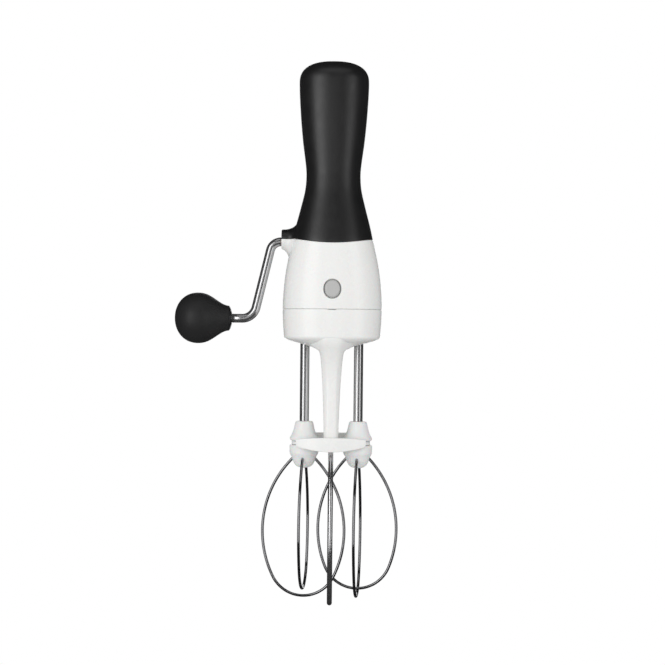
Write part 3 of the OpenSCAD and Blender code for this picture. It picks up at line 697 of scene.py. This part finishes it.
def let_in_well(shell, loop):
    """Runs the front surface in from a loop of its points, over the well's rim and down its wall."""
    angles = [math.atan2(p[2] - BUTTON_Z, p[0]) for p in loop]
    rim_r = BUTTON_R + BUTTON_GAP
    rows = [loop]
    for t in spread(0, 1, 9)[1:]:
        row = []
        for p, a in zip(loop, angles):
            x, z = oval_point(a, rim_r + WELL_FILLET)
            x, z = mix(p[0], x, t), mix(p[2], z, t)
            row.append((x, body_front(x, z), z))
        rows.append(row)
    for turn_in in spread(0, math.pi / 2, 6)[1:]:
        row = []
        for a in angles:
            x, z = oval_point(a, rim_r + WELL_FILLET * (1 - math.sin(turn_in)))
            row.append((x, body_front(x, z) + WELL_FILLET * (1 - math.cos(turn_in)), z))
        rows.append(row)
    rows.append([(x, WELL_END, z) for x, z in (oval_point(a, rim_r) for a in angles)])
    shell.rows(rows)


def make_upper_housing():
    """Outer skin with the button's well, edge at the border, rim at the joint, and inner skin."""
    shell = Shell()
    columns = turn(BODY_COLUMNS)
    rows = [[body_point(housing_height(v, a), a) for a in columns] for v in spread(0, 1, 110)]
    top, bottom, left, right = button_window(rows)
    shell.rows(rows, gap=(top, bottom, left, right))
    loop = rows[top][left:right]
    loop += [rows[r][right] for r in range(top, bottom)]
    loop += [rows[bottom][i] for i in range(right, left, -1)]
    loop += [rows[r][left] for r in range(bottom, top, -1)]
    let_in_well(shell, loop)

    edge = [[body_point(border_at(a), a, WALL) for a in columns]]
    edge += [[body_point(border_at(a) - down, a, inset) for a in columns] for down, inset in reversed(EDGE)]
    shell.rows(edge)
    low = SEAM_Z + SEAM_GAP
    rim = [body_row(low + up, inset) for up, inset in SEAM_EDGE]
    rim += [body_row(z, WALL) for z in spread(low, INNER_TOP, 24)]
    shell.rows(rim)
    boss_half(shell, math.pi)
    shell.piece("upper_housing_skin", "handle_unit", "white_plastic", ["upper_housing"])


# ---- Crank and knob ----

def crank_path():
    """The rod's centre line and radii, from inside the body round both bends to the knob's end.

    Both ends are turned down to a smaller radius, with a narrow chamfer at each shoulder.
    """
    bend_1 = (ROD_BEND_X, CRANK_Z - ROD_BEND_1)
    leave_x = bend_1[0] - ROD_BEND_1 * math.cos(CRANK_LEAN)
    leave_z = bend_1[1] + ROD_BEND_1 * math.sin(CRANK_LEAN)
    bend_2_z = KNOB_Z + ROD_BEND_2
    meet_z = bend_2_z - ROD_BEND_2 * math.sin(CRANK_LEAN)
    meet_x = leave_x - (leave_z - meet_z) * math.tan(CRANK_LEAN)
    bend_2_x = meet_x - ROD_BEND_2 * math.cos(CRANK_LEAN)
    quarter = math.pi / 2
    bent = arc(*bend_1, ROD_BEND_1, quarter, 2 * quarter - CRANK_LEAN, 28)[1:]
    bent += [(mix(leave_x, meet_x, t), mix(leave_z, meet_z, t)) for t in (0.1, 0.5, 0.9)]
    bent += arc(bend_2_x, bend_2_z, ROD_BEND_2, -CRANK_LEAN, -quarter, 28)
    bent += [(ROD_BENT_X + ROD_CHAMFER, KNOB_Z)]
    inner = [(ROD_IN_X, CRANK_Z), (ROD_BEND_X, CRANK_Z), (ROD_BEND_X, CRANK_Z)]
    outer = [(ROD_BENT_X, KNOB_Z), (ROD_BENT_X, KNOB_Z), (ROD_OUT_X, KNOB_Z)]
    shoulder = ROD_BENT_R - ROD_CHAMFER
    radii = [ROD_R, ROD_R, shoulder] + [ROD_BENT_R] * len(bent) + [shoulder, ROD_R, ROD_R]
    return inner + bent + outer, radii


def make_crank():
    shell = Shell()
    path, radii = crank_path()
    shell.sweep(path, radii, count=48)
    shell.piece("crank_rod_skin", "crank", "polished_steel", ["crank_rod"], sharp=50)


def knob_profile():
    """Half outline of the knob as (x, radius): a round nose, then a run that narrows to the neck."""
    nose = []
    for t in spread(math.pi / 2, 0, 30):
        x = KNOB_MID_X - KNOB_NOSE * power(math.sin(t), 2 / KNOB_POWER)
        nose.append((x, KNOB_R * power(math.cos(t), 2 / KNOB_POWER)))
    tail = []
    for u in spread(0, 1, 36)[1:]:
        wave = (1 + math.cos(math.pi * u**KNOB_TAPER)) / 2
        tail.append((mix(KNOB_MID_X, KNOB_END_X, u), mix(KNOB_NECK, KNOB_R, wave)))
    return nose + tail


def make_knob():
    grip = Shell()
    outline = knob_profile()[:-1] + [(KNOB_END_X - back, KNOB_NECK - inset) for back, inset in KNOB_EDGE]
    outline += [(KNOB_END_X, CORE_R), (CORE_X, CORE_R), (CORE_X, 0)]
    grip.lathe_x(outline, KNOB_Z)
    grip.piece("knob_grip_skin", "knob", "soft_rubber", ["knob_grip"], sharp=50, look="knob_rubber")
    core = Shell()
    outline = [(CORE_X, CORE_BORE_R), (CORE_X, CORE_R), (KNOB_END_X, CORE_R)]
    outline += [(KNOB_END_X + front, r) for front, r in COLLAR]
    core.lathe_x(rounded(outline, COLLAR_CORNER) + [(CORE_X, CORE_BORE_R)], KNOB_Z, 72)
    core.piece("knob_core_skin", "knob", "black_plastic", ["knob_core"])


# ---- Release button ----

def make_button():
    """Oval cap with a slightly dished face and a rounded bevel, its flange and its round stem."""
    back = BUTTON_FLANGE_Y + BUTTON_FLANGE_T
    profile = [(r, BUTTON_FRONT + depth) for r, depth in BUTTON_FACE]
    profile += [(BUTTON_R - inset, BUTTON_FRONT + depth) for inset, depth in BUTTON_BEVEL]
    profile += [(BUTTON_R, BUTTON_FLANGE_Y), (BUTTON_FLANGE_R, BUTTON_FLANGE_Y), (BUTTON_FLANGE_R, back)]
    profile += [(BUTTON_STEM_R, back), (BUTTON_STEM_R, BUTTON_STEM_END - BUTTON_STEM_CHAMFER)]
    profile += [(BUTTON_STEM_R - BUTTON_STEM_CHAMFER, BUTTON_STEM_END), (0, BUTTON_STEM_END)]
    rows = []
    for r, y in profile:
        stretch = BUTTON_H * min(r / BUTTON_R, 1) if r > BUTTON_STEM_R else 0
        outline = [oval_point(a, r, stretch) for a in turn(72)]
        rows.append([(x, y, z) for x, z in outline])
    shell = Shell()
    shell.rows(rows)
    shell.piece("release_button_skin", "button", "grey_plastic", ["release_button"], sharp=50)


# ---- Lower housing with its column ----

def cut(piece, tools):
    """Takes the tools' shapes out of a piece, with the result applied to its mesh."""
    for tool in tools:
        cutter = piece.modifiers.new("cut", "BOOLEAN")
        cutter.object = tool
        cutter.solver = "EXACT"
    evaluated = piece.evaluated_get(bpy.context.evaluated_depsgraph_get())
    mesh = bpy.data.meshes.new_from_object(evaluated)
    piece.modifiers.clear()
    piece.data = mesh
    for tool in tools:
        bpy.data.objects.remove(tool)


def peg(x, r, z0, z1):
    """Round cutting tool, upright."""
    shell = Shell()
    shell.lathe_z([(0, z0), (r, z0), (r, z1), (0, z1)], x, 64)
    tool = bpy.data.objects.new("peg", shell.mesh("peg"))
    bpy.context.scene.collection.objects.link(tool)
    return tool


def notch_at(x, y):
    """Depth of the small release notch in the front of the lower housing's rim."""
    return NOTCH_DEPTH * ease((NOTCH_HALF + NOTCH_EDGE / 2 - abs(x)) / NOTCH_EDGE) if y < 0 else 0.0


def make_lower_housing():
    """Lip, notched rim, outer skin closed at the bottom, and inner skin, with a hole for each shaft."""
    shell = Shell()
    bottom = STATIONS[-1][0]
    rows = [body_row(z, inset) for z, inset in LIP]
    for down, inset in reversed(SEAM_EDGE):
        row = []
        for a in turn(BODY_COLUMNS):
            x, y, _ = body_point(LOWER_RIM, a)
            row.append(body_point(LOWER_RIM - down - notch_at(x, y), a, inset))
        rows.append(row)
    heights = spread(LOWER_RIM - RIM_BAND, BOTTOM_TURN, 36) + spread(BOTTOM_TURN, bottom, 40)[1:]
    rows += [body_row(z) for z in heights]
    rows.append([(0.0, 0.0, bottom - BOTTOM_SAG)] * BODY_COLUMNS)
    shell.rows(rows)
    inner = [body_row(z, LOWER_WALL) for z in [LIP[0][0]] + spread(*INNER_SIDE, 6)]
    inner.append([(0.0, 0.0, INNER_FLOOR)] * BODY_COLUMNS)
    shell.rows(inner)
    housing = shell.piece("lower_housing_skin", "beater_unit", "white_plastic", ["lower_housing"])
    cut(housing, [peg(side * SHAFT_X, *SHAFT_HOLE) for side in (-1, 1)])


def flare_share(z):
    """How far up the column's flare a height is, from 0 on the shank to 1 at the body."""
    return ease((z - FLARE_Z) / FLARE_RISE)


def column_row(z):
    """Outline of the column: a flat front with slanted sides, bowed like the body at the top."""
    w, face, front = (smooth_at(COLUMN, z, k) for k in (1, 2, 3))
    side, back, edge = front + w - face, COLUMN_BACK, COLUMN_EDGE
    outline = [(w, side), (w, back - edge), (w - edge, back), (edge - w, back), (-w, back - edge),
               (-w, side), (-face, front), (face, front)]
    row = []
    for x, y in rounded(outline, mix(*COLUMN_CORNER, flare_share(z)), closed=True):
        bow = body_front(x, BOTTOM_TURN) - body_front(0, BOTTOM_TURN)
        row.append((x, y + bow * flare_share(z), z))
    return row


def make_column():
    shell = Shell()
    shell.rows([column_row(mix(COLUMN[0][0], COLUMN[-1][0], u**COLUMN_ROWS)) for u in spread(0, 1, 90)])
    shell.piece("column_skin", "beater_unit", "white_plastic", [], sharp=60)


# ---- Crossbar ----

def curved_wall(shell, side, mid_top, end_top):
    """Bowed wall of the crossbar with rounded corners at its ends: side -1 is the front and 1 the back."""
    reach = math.asin(BAR_HALF_X / BAR_ARC_R)
    centre = side * (BAR_HALF_Y - BAR_ARC_R)
    inside = BAR_ARC_R - BAR_WALL
    rows = []
    for share in spread(-1, 1, 80):
        a = reach * math.sin(share * math.pi / 2)
        x = BAR_ARC_R * math.sin(a)
        out = (x / BAR_HALF_X) ** 2
        near_end = 1 - min((BAR_HALF_X - abs(x)) / BAR_CORNER, 1)
        corner = 1 - math.sqrt(max(1 - near_end**2, 0))
        low = mix(BAR_BOTTOM, BAR_END_BOTTOM, out) + BAR_CORNER_LOW * corner
        top = mix(mid_top, end_top, out) - BAR_CORNER_TOP * corner
        section = [(BAR_ARC_R, low), (BAR_ARC_R, top), (inside, top), (inside, low)]
        row = []
        for r, z in rounded(section, BAR_EDGE, closed=True):
            row.append((r * math.sin(a), centre + side * r * math.cos(a), z))
        rows.append(row)
    for row in (rows[0], rows[-1]):
        middle = tuple(sum(p[k] for p in row) / len(row) for k in range(3))
        shell.rows([[middle] * len(row), row])
    shell.rows(rows)


def plate_outline():
    """Lens-shaped outline of the crossbar's plate."""
    r = BAR_ARC_R - BAR_WALL / 2
    centre = BAR_ARC_R - BAR_HALF_Y
    reach = math.asin((BAR_HALF_X - PLATE_MARGIN) / r)
    front = [(r * math.sin(a), centre - r * math.cos(a)) for a in spread(-reach, reach, 40)]
    return front + [(-x, -y) for x, y in front]


def make_crossbar():
    """Two bowed walls, the plate between them and the guard's block, with a ring round each shaft."""
    shell = Shell()
    curved_wall(shell, -1, BAR_TOP, BAR_END_TOP)
    curved_wall(shell, 1, BAR_BACK_TOP, BAR_BACK_TOP)
    outline = plate_outline()
    plate = ((0, PLATE_TOP), (1, PLATE_TOP), (1, PLATE_BOTTOM), (0, PLATE_BOTTOM))
    shell.rows([[(x * scale, y * scale, z) for x, y in outline] for scale, z in plate])
    x, y = BLOCK_HALF_X, BLOCK_HALF_Y
    corners = rounded([(x, y), (-x, y), (-x, -y), (x, -y)], BLOCK_CORNER, closed=True)
    block = [(1, BLOCK_TOP)] + [(scale, BLOCK_BOTTOM + up) for scale, up in BLOCK_EDGE]
    shell.rows([[(x * scale, y * scale, z) for x, y in corners] for scale, z in block])
    bar = shell.piece("crossbar_skin", "beater_unit", "white_plastic", ["crossbar"])
    cut(bar, [peg(side * SHAFT_X, *RING_HOLE) for side in (-1, 1)])
    rings = Shell()
    low, top = PLATE_BOTTOM, PLATE_TOP
    ring = [(RING_BORE_R, low), (RING_R, low), (RING_R, top), (RING_BORE_R, top)]
    rim = rounded(ring, RING_EDGE, closed=True)
    for side in (-1, 1):
        rings.lathe_z(rim + rim[:1], side * SHAFT_X)
    rings.piece("crossbar_rings", "beater_unit", "white_plastic", [])


def make_guard():
    shell = Shell()
    shell.sweep(loop_path(*GUARD_LOOP), GUARD_R, angle=math.pi / 2, count=32)
    name, node = "guard_wire_skin", "guard_wire"
    # Its look is wire steel painted paler, as painted light in place of the reflections on the guard
    shell.piece(name, "beater_unit", "wire_steel", [node], sharp=60, look="guard_steel")


# ---- Beaters ----

def loop_path(half, mid, side_r, bottom, top):
    """Centre line (x, z) of a wire loop: two long side arcs that meet one round arc at the bottom."""
    offset, depth = side_r - half, mid - bottom
    low_r = (side_r**2 - offset**2 - depth**2) / (2 * (side_r - depth))
    low_z = bottom + low_r
    join = math.atan2(mid - low_z, offset)
    rise = math.asin((top - mid) / side_r)
    side = arc(-offset, mid, side_r, rise, -join, 64)
    low = arc(0, low_z, low_r, -join, join - math.pi, 40)
    return side + low[1:-1] + [(-x, z) for x, z in reversed(side)]


def make_shaft(side, name, body):
    """Round shaft with a chamfered top, and the hexagon above it that the coupler turns."""
    x = side * SHAFT_X
    shell = Shell()
    shell.lathe_z([
        (0, SHAFT_BOTTOM), (SHAFT_R, SHAFT_BOTTOM), (SHAFT_R, SHAFT_ROUND_TOP - SHAFT_CHAMFER),
        (SHAFT_R - SHAFT_CHAMFER, SHAFT_ROUND_TOP), (0, SHAFT_ROUND_TOP),
    ], x)
    tip, tip_height = SHAFT_TIP
    corner_r = SHAFT_HEX / 2 / math.cos(math.pi / 6)
    angles = [BEATER_TURN + i * math.pi / 3 for i in range(6)]
    hexagon = ((1, SHAFT_HEX_BOTTOM), (1, SHAFT_TOP - tip_height), (tip, SHAFT_TOP), (0, SHAFT_TOP))
    rows = []
    for scale, z in hexagon:
        r = scale * corner_r
        rows.append([(x + r * math.cos(a), r * math.sin(a), z) for a in angles])
    shell.rows(rows)
    shell.piece(name + "_shaft_skin", body, "polished_steel", [name + "_shaft"])


def make_turned(side, node, body, outline, corner):
    """Nylon part turned about a beater's axis."""
    shell = Shell()
    shell.lathe_z(rounded(outline, corner, 5), side * SHAFT_X)
    shell.piece(node + "_skin", body, "frosted_nylon", [node], sharp=50)


def make_loops(side, name, body):
    """Outer and inner loop, at right angles; the two beaters stand a quarter turn apart."""
    angle = -BEATER_TURN + (math.pi / 2 if side > 0 else 0)
    for kind, size, extra in (("outer", OUTER_LOOP, 0), ("inner", INNER_LOOP, math.pi / 2)):
        shell = Shell()
        shell.sweep(loop_path(*size), WIRE_R, angle + extra, side * SHAFT_X)
        node = f"{name}_{kind}_loop"
        shell.piece(node + "_skin", body, "wire_steel", [node], sharp=60)


def make_beater(side, name):
    body = name + "_beater"
    make_shaft(side, name, body)
    make_turned(side, name + "_cone", body, CONE, CONE_CORNER)
    make_turned(side, name + "_hub", body, HUB, HUB_CORNER)
    make_loops(side, name, body)


# ---- Studio, in metres ----

VIEW_CENTRE = Vector((0.0003, 0.0, -0.0879))
VIEW_DISTANCE = 0.9
VIEW_ROLL = math.radians(0.57)
LENS = 86.7  # millimetres, as is the sensor's width
SENSOR = 36
FLOOR_HALF = 6.0
FLOOR_DROP = 0.25
BACKDROP = 1.0  # to the eye
IN_REFLECTIONS = 0.02
WORLD_LIGHT = 0.77
FLOOR_LIGHT = 0.72

# Soft boxes: azimuth and elevation in degrees, distance, width, height, and power in watts
LIGHTS = {
    "key_box": (-35, 4, 0.9, 0.5, 0.9, 3.1),
    "fill_box": (43, 3, 1.0, 0.42, 0.9, 1.6),
    "front_strip": (-3, 0, 0.9, 0.14, 0.5, 0.18),
    "top_box": (0, 60, 0.9, 0.8, 0.4, 0.6),
    "back_box": (180, 8, 1.0, 0.5, 0.8, 1.6),
}


def make_camera():
    data = bpy.data.cameras.new("camera")
    data.lens = LENS
    data.sensor_width = SENSOR
    camera = bpy.data.objects.new("camera", data)
    camera.location = VIEW_CENTRE - Vector((0, VIEW_DISTANCE, 0))
    upright = Matrix.Rotation(math.pi / 2, 4, "X")
    camera.rotation_euler = (upright @ Matrix.Rotation(VIEW_ROLL, 4, "Z")).to_euler()
    bpy.context.scene.collection.objects.link(camera)
    bpy.context.scene.camera = camera


def area_light(name, azimuth, elevation, distance, width, height, watts):
    """Soft box that faces the object; azimuth 0 is at the camera and 90 on the right."""
    data = bpy.data.lights.new(name, "AREA")
    data.shape = "RECTANGLE"
    data.size, data.size_y = width, height
    data.energy = watts
    light = bpy.data.objects.new(name, data)
    a, e = math.radians(azimuth), math.radians(elevation)
    back = Vector((math.sin(a) * math.cos(e), -math.cos(a) * math.cos(e), math.sin(e)))
    light.location = VIEW_CENTRE + back * distance
    light.rotation_euler = back.to_track_quat("Z", "Y").to_euler()
    light.visible_camera = False
    bpy.context.scene.collection.objects.link(light)


def backdrop_strength(tree, light):
    """Strength of a backdrop's emission: one for the eye, one in reflections, and light for the rest."""
    path = tree.nodes.new("ShaderNodeLightPath")
    inner = tree.nodes.new("ShaderNodeMix")
    inner.inputs["A"].default_value = light
    inner.inputs["B"].default_value = IN_REFLECTIONS
    outer = tree.nodes.new("ShaderNodeMix")
    outer.inputs["B"].default_value = BACKDROP
    tree.links.new(path.outputs["Is Glossy Ray"], inner.inputs["Factor"])
    tree.links.new(path.outputs["Is Camera Ray"], outer.inputs["Factor"])
    tree.links.new(inner.outputs["Result"], outer.inputs["A"])
    return outer.outputs["Result"]


def make_world():
    world = bpy.data.worlds.new("studio")
    world.use_nodes = True
    tree = world.node_tree
    background = tree.nodes["Background"]
    background.inputs["Color"].default_value = (1, 1, 1, 1)
    tree.links.new(backdrop_strength(tree, WORLD_LIGHT), background.inputs["Strength"])
    bpy.context.scene.world = world


def make_floor():
    """Pale floor, well below the guard wire, as bright to the eye as the world behind it."""
    mesh = bpy.data.meshes.new("floor")
    half, z = FLOOR_HALF, cad_box[0].z - FLOOR_DROP
    corners = [(-half, -half, z), (half, -half, z), (half, half, z), (-half, half, z)]
    mesh.from_pydata(corners, [], [(0, 1, 2, 3)])
    floor = bpy.data.objects.new("floor", mesh)
    bpy.context.scene.collection.objects.link(floor)
    material = bpy.data.materials.new("pale_floor")
    material.use_nodes = True
    tree = material.node_tree
    tree.nodes.remove(tree.nodes["Principled BSDF"])
    glow = tree.nodes.new("ShaderNodeEmission")
    tree.links.new(backdrop_strength(tree, FLOOR_LIGHT), glow.inputs["Strength"])
    tree.links.new(glow.outputs["Emission"], tree.nodes["Material Output"].inputs["Surface"])
    mesh.materials.append(material)


def make_studio():
    make_camera()
    make_world()
    make_floor()
    for name, box in LIGHTS.items():
        area_light(name, *box)
    bpy.context.scene.view_settings.view_transform = "Standard"


make_studio()
finish_frame_nodes()
make_grip()
make_upper_housing()
make_crank()
make_knob()
make_button()
make_lower_housing()
make_column()
make_crossbar()
make_guard()
for side, name in ((-1, "left"), (1, "right")):
    make_beater(side, name)
